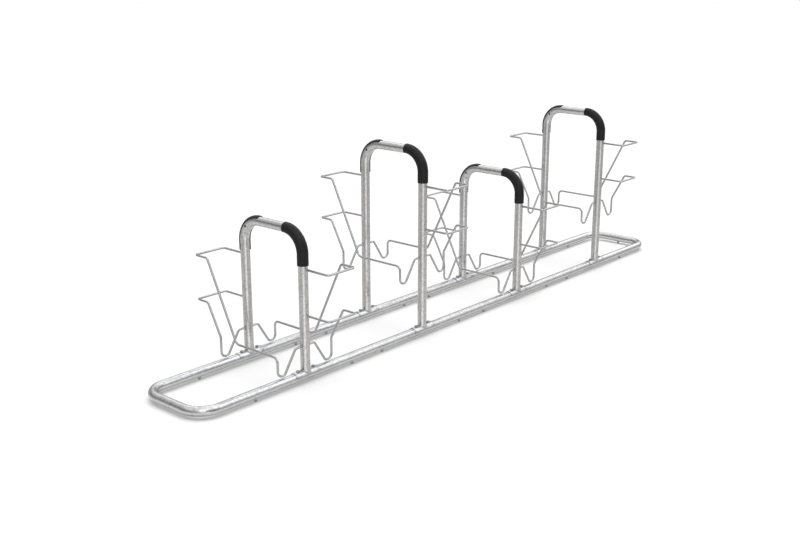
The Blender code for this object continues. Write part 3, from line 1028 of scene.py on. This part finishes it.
def studio_world(stage):
    """White to the eye, soft light on dull surfaces, and wall tones with patches to metal."""
    world = bpy.data.worlds.new("studio")
    world.use_nodes = True
    tree = world.node_tree
    tree.nodes.clear()
    way = add(tree, "ShaderNodeTexCoord").outputs["Generated"]
    rise = add(tree, "ShaderNodeSeparateXYZ", {0: way}).outputs[2]
    height = maths(tree, "MULTIPLY_ADD", rise, 0.5, 0.5)
    walls = ramp(tree, height, [(0.5 + level / 2, tone) for level, tone in WALL_TONES])
    for direction, wide, narrow, tint in WALL_PATCHES:
        facing = {0: way, 1: Vector(direction).normalized()}
        nearness = vector_maths(tree, "DOT_PRODUCT", facing)["Value"]
        begins, full = math.cos(math.radians(wide)), math.cos(math.radians(narrow))
        walls = summed(tree, walls, scaled(tree, tint, eased(tree, nearness, begins, full)))
    studio = background(tree, walls, 1.0)
    soft = background(tree, WHITE, stage.fill)
    rays, seen = seen_rays(tree)
    mirrored = maths(tree, "GREATER_THAN", rays["Is Glossy Ray"], rays["Diffuse Depth"])
    unseen = mixed(tree, mirrored, soft, studio)
    shown = mixed(tree, seen, unseen, background(tree, WHITE, 1.0))
    add(tree, "ShaderNodeOutputWorld", {0: shown})
    return world


def floor_material(stage):
    """White where light falls freely, and grey in the rack's shadow.

    Metal mirrors it only from close by, and paler.
    """
    material, tree, shader = new_material("studio_floor")
    tree.nodes.remove(shader)
    paint = add(tree, "ShaderNodeBsdfDiffuse", {"Color": (*stage.floor, 1.0)}).outputs[0]
    rays, seen = seen_rays(tree)
    mirrored = maths(tree, "MULTIPLY", rays["Is Glossy Ray"], stage.mirrored_glow)
    lit = maths(tree, "MAXIMUM", seen, mirrored)
    lift = maths(tree, "MULTIPLY", lit, stage.floor_glow)
    glow = add(tree, "ShaderNodeEmission", {"Color": WHITE, "Strength": lift}).outputs[0]
    surface = add(tree, "ShaderNodeAddShader", {0: paint, 1: glow}).outputs[0]
    far = eased(tree, rays["Ray Length"], stage.contact, stage.contact_end)
    through = add(tree, "ShaderNodeBsdfTransparent").outputs[0]
    hidden = maths(tree, "MULTIPLY", rays["Is Glossy Ray"], far)
    surface = mixed(tree, hidden, surface, through)
    tree.links.new(surface, tree.nodes["Material Output"].inputs["Surface"])
    return material


class AddStage(bpy.types.Operator):
    """Sets up the floor, the lights, the world and the camera"""

    bl_idname = "bicycle_rack.add_stage"
    bl_label = "Stage"

    def execute(self, context):
        scene = context.scene
        stage = scene.rack_stage
        work = bmesh.new()
        bmesh.ops.create_grid(work, x_segments=1, y_segments=1, size=stage.floor_reach)
        floor = from_bmesh("floor", work, floor_material(stage))
        scene.world = studio_world(stage)
        overhead = self.add_lamp("overhead", OVERHEAD_FROM, stage.overhead)
        overhead.angle = stage.overhead_width
        front = self.add_lamp("front", FRONT_FROM, stage.front)
        front.use_shadow = False
        camera = bpy.data.cameras.new("camera")
        camera.lens = stage.lens
        camera.sensor_width = SENSOR_WIDTH
        camera.sensor_fit = "HORIZONTAL"
        eye = new_object("camera", camera)
        eye.location = stage.camera_place
        pitch, heading = math.pi / 2 - stage.camera_pitch, stage.camera_heading - math.pi / 2
        eye.rotation_euler = (pitch, 0, heading)
        scene.camera = eye
        scene.view_settings.view_transform = "Standard"
        return {"FINISHED"}

    def add_lamp(self, name, direction, strength):
        """A lamp far off in a direction, which metal doesn't reflect."""
        lamp = bpy.data.lights.new(name, "SUN")
        lamp.energy = strength
        obj = new_object(name, lamp)
        obj.rotation_euler = Vector(direction).to_track_quat("Z", "Y").to_euler()
        obj.visible_glossy = False
        return lamp


class RackPanel(bpy.types.Panel):
    """The rack's pieces and sizes, in the 3D view's sidebar."""

    bl_idname = "VIEW3D_PT_bicycle_rack"
    bl_label = "Bicycle rack"
    bl_space_type = "VIEW_3D"
    bl_region_type = "UI"
    bl_category = "Bicycle rack"

    def draw(self, context):
        for operator in PIECES:
            self.layout.operator(operator.bl_idname)
        for label, group in (
            ("Sizes", context.scene.rack_sizes),
            ("Wheel holders", context.scene.holder_sizes),
            ("Finish", context.scene.rack_finish),
            ("Stage", context.scene.rack_stage),
        ):
            box = self.layout.box()
            box.label(text=label)
            for name in type(group).__annotations__:
                box.prop(group, name)


PIECES = (
    AddFloorLoop, AddSleeves, AddHoops, AddSaddles, AddBolts,
    AddGuards, AddPlugs, AddHolders, AddWelds, AddStage,
)
GROUPS = {
    "rack_sizes": RackSizes,
    "holder_sizes": HolderSizes,
    "rack_finish": RackFinish,
    "rack_stage": RackStage,
}


def register():
    for group in GROUPS.values():
        bpy.utils.register_class(group)
    for name, group in GROUPS.items():
        setattr(bpy.types.Scene, name, PointerProperty(type=group))
    for piece in (*PIECES, RackPanel):
        bpy.utils.register_class(piece)


def unregister():
    for piece in (RackPanel, *reversed(PIECES)):
        bpy.utils.unregister_class(piece)
    for name, group in reversed(GROUPS.items()):
        delattr(bpy.types.Scene, name)
        bpy.utils.unregister_class(group)


def main():
    register()
    bpy.ops.bicycle_rack.add_floor_loop()
    bpy.ops.bicycle_rack.finish_sleeves()
    bpy.ops.bicycle_rack.add_hoops()
    bpy.ops.bicycle_rack.add_saddles()
    bpy.ops.bicycle_rack.add_bolts()
    bpy.ops.bicycle_rack.add_guards()
    bpy.ops.bicycle_rack.add_plugs()
    bpy.ops.bicycle_rack.add_holders()
    bpy.ops.bicycle_rack.add_welds()
    bpy.ops.bicycle_rack.add_stage()


if __name__ == "__main__":
    main()
